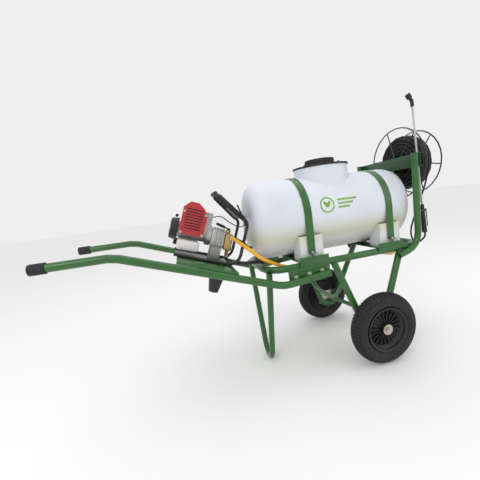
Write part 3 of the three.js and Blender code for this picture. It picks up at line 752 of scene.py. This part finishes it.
@dataclass
class Wheel:
    """A pneumatic wheel: tyre with a ribbed tread, ribs on the rim."""

    side: str
    sign: int
    axle: Point = (0.420, 0.315, 0.185)
    tyre_r: float = 0.185
    bead_r: float = 0.1038
    half_width: float = 0.044
    around: int = 120
    across: int = 22
    tread_from: float = 0.163
    groove: float = 0.0034
    rim_ribs: int = 20

    @property
    def centre(self) -> Vector:
        """The wheel's middle."""
        return Vector((self.axle[0], self.sign * self.axle[1], self.axle[2]))

    def build_tyre(self, frame: Frame) -> None:
        """A ring with grooves cut across its tread.

        Args:
            frame: the cart's frame.
        """
        half_height = (self.tyre_r - self.bead_r) / 2
        deselect_all()
        bpy.ops.mesh.primitive_torus_add(
            location=self.centre, rotation=(math.pi / 2, 0, 0), major_segments=self.around,
            minor_segments=self.across, major_radius=self.tyre_r - half_height, minor_radius=half_height,
        )
        tyre = bpy.context.object
        tyre.scale = (1, 1, self.half_width / half_height)
        settle(tyre, f"tyre_{self.side}_skin")
        self.cut_tread(tyre)
        smooth(tyre, 32)
        frame.paints.dress(tyre, "tyre_rubber")
        frame.mount(tyre, f"tyre_{self.side}")

    def cut_tread(self, tyre: bpy.types.Object) -> None:
        """Sinks every other row of tread faces.

        Args:
            tyre: the tyre.
        """
        step = 2 * math.pi / self.around
        for face in tyre.data.polygons:
            reach = Vector(face.center) - self.centre
            radius = math.hypot(reach.x, reach.z)
            row = int((math.atan2(reach.z, reach.x) % (2 * math.pi)) / step)
            face.select = radius > self.tread_from and row % 2 == 0
        select_only(tyre)
        modes = bpy.context.tool_settings
        before = tuple(modes.mesh_select_mode)
        modes.mesh_select_mode = (False, False, True)
        bpy.ops.object.mode_set(mode="EDIT")
        bpy.ops.mesh.inset(thickness=0.0012, depth=-self.groove, use_individual=False)
        bpy.ops.object.mode_set(mode="OBJECT")
        modes.mesh_select_mode = before

    def build_rim(self, frame: Frame) -> None:
        """The rim with ribs between its hub and its well.

        Args:
            frame: the cart's frame.
        """
        frame.carry_over(f"rim_{self.side}", 0.0009)
        ribs = []
        for i in range(self.rim_ribs):
            angle = 2 * math.pi * (i + 0.5) / self.rim_ribs
            bpy.ops.mesh.primitive_cube_add(
                size=1, location=self.centre + Vector((0.057, self.sign * 0.0095, 0)),
                scale=(0.062, 0.014, 0.0042),
            )
            rib = bpy.context.object
            rounded(rib, 0.0012)
            turn = Matrix.Translation(self.centre) @ Matrix.Rotation(angle, 4, "Y")
            rib.matrix_world = turn @ Matrix.Translation(-self.centre) @ rib.matrix_world
            ribs.append(rib)
        frame.add(joined(ribs, "ribs"), f"rim_ribs_{self.side}", "black_plastic", f"wheel_{self.side}")

    def build(self, frame: Frame) -> None:
        """Builds the whole wheel."""
        self.build_tyre(frame)
        self.build_rim(frame)


# ---------------------------------------------------------------- power unit


@dataclass
class PowerUnit:
    """Details of the engine and the pump, placed in the tray's own tilted axes."""

    origin: Point = (-0.43140, 0.0, 0.65826)
    slope: float = math.radians(20.495)
    louvres: int = 9
    starter_ribs: int = 12
    starter_rib_r: float = 0.034

    def place(self, u: float, v: float, w: float) -> Vector:
        """A point of the unit's own axes, seen from the cart."""
        return Vector(self.origin) + Matrix.Rotation(self.slope, 3, "Y") @ Vector((u, v, w))

    def block(self, middle: Point, size: Point, edge: float) -> bpy.types.Object:
        """A rounded block in the unit's own axes.

        Args:
            middle: its centre.
            size: its sides.
            edge: its edge's round.

        Returns:
            The block.
        """
        bpy.ops.mesh.primitive_cube_add(
            size=1, location=self.place(*middle), rotation=(0, self.slope, 0), scale=size
        )
        piece = bpy.context.object
        settle(piece, "block")
        rounded(piece, edge)
        return piece

    def build_cover_details(self, frame: Frame) -> None:
        """Raised louvres on the cover's near side and its top, a black sheet behind them as painted shade
        in the gaps between the slats, and its corner screws.
        """
        slats = []
        for i in range(self.louvres):
            w = 0.128 + 0.0135 * i
            width = 0.094 if w < 0.215 else 0.094 - (w - 0.215) * 1.1
            slats.append(self.block((-0.076, -0.0995, w), (width, 0.0075, 0.0080), 0.0022))
        frame.add(joined(slats, "slats"), "cover_louvres", "red_plastic", "chassis")
        # A thin black sheet under the slats: painted shade in the gaps between the louvres.
        louvre_shade_sheet = self.block((-0.076, -0.0985, 0.180), (0.080, 0.0030, 0.108), 0.0008)
        frame.add(louvre_shade_sheet, "cover_louvre_shade", "black_plastic", "chassis")
        screws = [
            hex_bolt(self.place(u, -0.0982, w), (0, -1, 0), 0.008)
            for u in (-0.126, -0.022)
            for w in (0.112, 0.214)
        ]
        frame.add(joined(screws, "screws"), "cover_screws", "zinc_steel", "chassis")

    def build_starter_details(self, frame: Frame) -> None:
        """Ribs round the recoil starter's housing."""
        ribs = []
        for i in range(self.starter_ribs):
            angle = math.pi * i / (self.starter_ribs / 2)
            across = self.starter_rib_r * math.cos(angle)
            along = self.starter_rib_r * math.sin(angle)
            spot = (-0.1775, -0.020 + across, 0.118 + along)
            rib = self.block(spot, (0.003, 0.026, 0.004), 0.0008)
            turn = Matrix.Rotation(-angle, 4, Vector((math.cos(self.slope), 0, -math.sin(self.slope))))
            shift = Matrix.Translation(self.place(*spot))
            rib.matrix_world = shift @ turn @ shift.inverted() @ rib.matrix_world
            ribs.append(rib)
        frame.add(joined(ribs, "ribs"), "starter_ribs", "black_plastic", "chassis")

    def build_pump_details(self, frame: Frame) -> None:
        """Head bolts and hose fittings on the pump."""
        bolts = [
            hex_bolt(self.place(0.1402, v, w), (math.cos(self.slope), 0, -math.sin(self.slope)), 0.011)
            for v in (-0.066, 0.026)
            for w in (0.074, 0.136)
        ]
        frame.add(joined(bolts, "bolts"), "pump_bolts", "zinc_steel", "chassis")
        clamps = []
        for middle, axis, radius in (
            ((0.128, -0.1045, 0.1325), (0, 1, 0), 0.0122),
            ((0.126, -0.052, 0.0305), (-self.slope, 0, 1), 0.0126),
        ):
            bpy.ops.mesh.primitive_cylinder_add(
                vertices=24, radius=radius, depth=0.008, location=self.place(*middle),
                rotation=standing(axis),
            )
            clamp = bpy.context.object
            settle(clamp, "clamp")
            rounded(clamp, 0.0008)
            clamps.append(clamp)
        frame.add(joined(clamps, "clamps"), "hose_clamps", "zinc_steel", "chassis")

    def build_grip(self, frame: Frame) -> None:
        """A moulded grip over the top of the carrying frame, with a web between its arms."""
        parts = []
        tops = [(0.168, -0.1065, 0.2388), (0.018, -0.0790, 0.3259)]
        for side in (1, -1):
            low, high = (self.place(u, v * side, w) for u, v, w in tops)
            parts.append(self.sleeve(low, high))
        ends = [self.place(0.004, v, 0.334) for v in (-0.062, 0.062)]
        parts.append(self.sleeve(*ends))
        web = self.block((0.128, 0.0, 0.262), (0.082, 0.190, 0.0080), 0.0025)
        lean = Matrix.Rotation(math.atan2(0.108, 0.186), 4, "Y")
        shift = Matrix.Translation(self.place(0.128, 0.0, 0.262))
        web.matrix_world = shift @ lean @ shift.inverted() @ web.matrix_world
        parts.append(web)
        frame.add(joined(parts, "grip"), "carry_grip", "black_plastic", "chassis")

    @staticmethod
    def sleeve(low: Vector, high: Vector, radius: float = 0.0125) -> bpy.types.Object:
        """A round sleeve with softened ends between two points.

        Args:
            low: one end.
            high: the other end.
            radius: its radius.

        Returns:
            The sleeve.
        """
        bpy.ops.mesh.primitive_cylinder_add(
            vertices=24, radius=radius, depth=(high - low).length, location=(low + high) / 2,
            rotation=standing(high - low),
        )
        piece = bpy.context.object
        settle(piece, "sleeve")
        rounded(piece, 0.004, 3)
        return piece

    def build(self, frame: Frame) -> None:
        """Builds every detail of the unit."""
        self.build_grip(frame)
        self.build_cover_details(frame)
        self.build_starter_details(frame)
        self.build_pump_details(frame)


# ---------------------------------------------------------------- tank


@dataclass
class TankDetails:
    """The tank's emblem and the ribs and screws round its lid."""

    mid_z: float = 0.796
    half_y: float = 0.200
    half_z: float = 0.210
    neck_x: float = 0.316
    emblem_x: float = 0.232
    emblem_z: float = 0.842
    emblem_r: float = 0.037

    def wrap(self, piece: bpy.types.Object, lift: float) -> None:
        """Lays a flat piece on the tank's near wall.

        Args:
            piece: the piece, drawn in the XZ plane.
            lift: how far it stands off the wall.
        """
        settle(piece, piece.name)
        for vertex in piece.data.vertices:
            height = (vertex.co.z - self.mid_z) / self.half_z
            wall = self.half_y * math.sqrt(max(0.0, 1 - height * height))
            vertex.co.y = -wall - lift + vertex.co.y

    def build_emblem(self, frame: Frame) -> None:
        """A plain ring with a leaf in it, and three bars beside it."""
        parts = []
        bpy.ops.mesh.primitive_torus_add(
            location=(self.emblem_x, 0, self.emblem_z), rotation=(math.pi / 2, 0, 0),
            major_segments=64, minor_segments=8, major_radius=self.emblem_r, minor_radius=0.0036,
        )
        ring = bpy.context.object
        ring.scale = (1, 1, 0.16)
        parts.append(ring)
        for angle in (-0.6, 0.6):
            bpy.ops.mesh.primitive_uv_sphere_add(
                segments=24, ring_count=12, radius=0.015,
                location=(self.emblem_x + 0.012 * math.sin(angle), 0, self.emblem_z + 0.003),
                rotation=(0, angle, 0), scale=(0.55, 0.05, 1.25),
            )
            parts.append(bpy.context.object)
        for i, length in enumerate((0.112, 0.088, 0.064)):
            bpy.ops.mesh.primitive_cube_add(
                size=1, location=(self.emblem_x + 0.062 + length / 2, 0, self.emblem_z + 0.020 - 0.019 * i),
                scale=(length, 0.0012, 0.009),
            )
            bar = bpy.context.object
            settle(bar, "bar")
            bpy.ops.object.mode_set(mode="EDIT")
            bpy.ops.mesh.subdivide(number_cuts=8)
            bpy.ops.object.mode_set(mode="OBJECT")
            parts.append(bar)
        emblem = joined(parts, "emblem")
        self.wrap(emblem, 0.0002)
        frame.add(emblem, "tank_emblem", "tank_plastic", "chassis", "emblem_print")

    def build_lid_details(self, frame: Frame) -> None:
        """Grip ribs round the lid and bolts round the neck ring."""
        ribs = []
        for i in range(36):
            angle = math.pi * i / 18
            bpy.ops.mesh.primitive_cylinder_add(
                vertices=8, radius=0.0028, depth=0.030,
                location=(self.neck_x + 0.0795 * math.cos(angle), 0.0795 * math.sin(angle), 1.079),
            )
            ribs.append(bpy.context.object)
        frame.add(joined(ribs, "ribs"), "lid_ribs", "black_plastic", "lid")
        bolts = []
        for i in range(8):
            angle = math.pi * (i + 0.5) / 4
            spot = (self.neck_x + 0.128 * math.cos(angle), 0.128 * math.sin(angle), 1.0603)
            bolts.append(hex_bolt(spot, (0, 0, 1), 0.011))
        frame.add(joined(bolts, "bolts"), "neck_bolts", "black_plastic", "chassis")

    def build(self, frame: Frame) -> None:
        """Builds every detail of the tank."""
        self.build_emblem(frame)
        self.build_lid_details(frame)


# ---------------------------------------------------------------- chassis details


@dataclass
class ChassisDetails:
    """Bolts of the handle plates, and nuts on the strap hooks."""

    plate_y: float = 0.2306
    bolt_x: tuple[float, ...] = (0.006, 0.078, 0.150)
    strap_x: tuple[float, ...] = (0.117, 0.597)
    nut_z: float = 0.6142

    def build(self, frame: Frame) -> None:
        """Builds the bolts and the nuts."""
        bolts = []
        for sign in (-1, 1):
            for x in self.bolt_x:
                z = 0.505 + (x + 0.022) * 0.08
                bolts.append(hex_bolt((x, sign * self.plate_y, z), (0, sign, 0), 0.016))
        frame.add(joined(bolts, "bolts"), "handle_bolts", "zinc_steel", "chassis")
        nuts = []
        for sign in (-1, 1):
            for x in self.strap_x:
                nuts.append(hex_bolt((x, sign * 0.210, self.nut_z), (0, 0, 1), 0.013))
        frame.add(joined(nuts, "nuts"), "strap_nuts", "zinc_steel", "chassis")


ROUNDED_NODES = {
    "saddle_rear": 0.0010, "saddle_front": 0.0010, "bolt_plate_near": 0.0012, "bolt_plate_far": 0.0012,
    "platform": 0.0010, "reel_beam": 0.0010, "neck_ring": 0.0016, "tank_lid": 0.0018,
    "fuel_tank": 0.0015, "engine_cover": 0.0022, "gearbox": 0.0010, "pump_head": 0.0016,
    "recoil_starter": 0.0030, "fuel_cap": 0.0020, "starter_handle": 0.0010, "crank_knob": 0.0025,
    "grip_near": 0.0018, "grip_far": 0.0018, "strainer_bowl": 0.0020,
}
# The reel beam gets the darkened green paint: painted shade on the green beam.
OWN_FINISHES = {"reel_beam": "green_paint_painted_shade"}
NEW_NODES = {"tyre_near", "tyre_far", "rim_near", "rim_far", "hose_pack", "spray_hose"}


def main() -> None:
    """Builds the cart's look piece by piece."""
    logging.basicConfig(level=logging.INFO, format="%(message)s")
    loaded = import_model()
    frame = Frame(loaded)
    studio = Studio()
    studio.build_camera()
    ReelHose().build(frame)
    studio.build_floor()
    studio.build_light()
    for node in sorted(set(frame.nodes) - NEW_NODES):
        frame.carry_over(node, ROUNDED_NODES.get(node, 0.0))
    for side, sign in (("near", -1), ("far", 1)):
        Wheel(side, sign).build(frame)
    TankDetails().build(frame)
    PowerUnit().build(frame)
    ChassisDetails().build(frame)


if __name__ == "__main__":
    main()
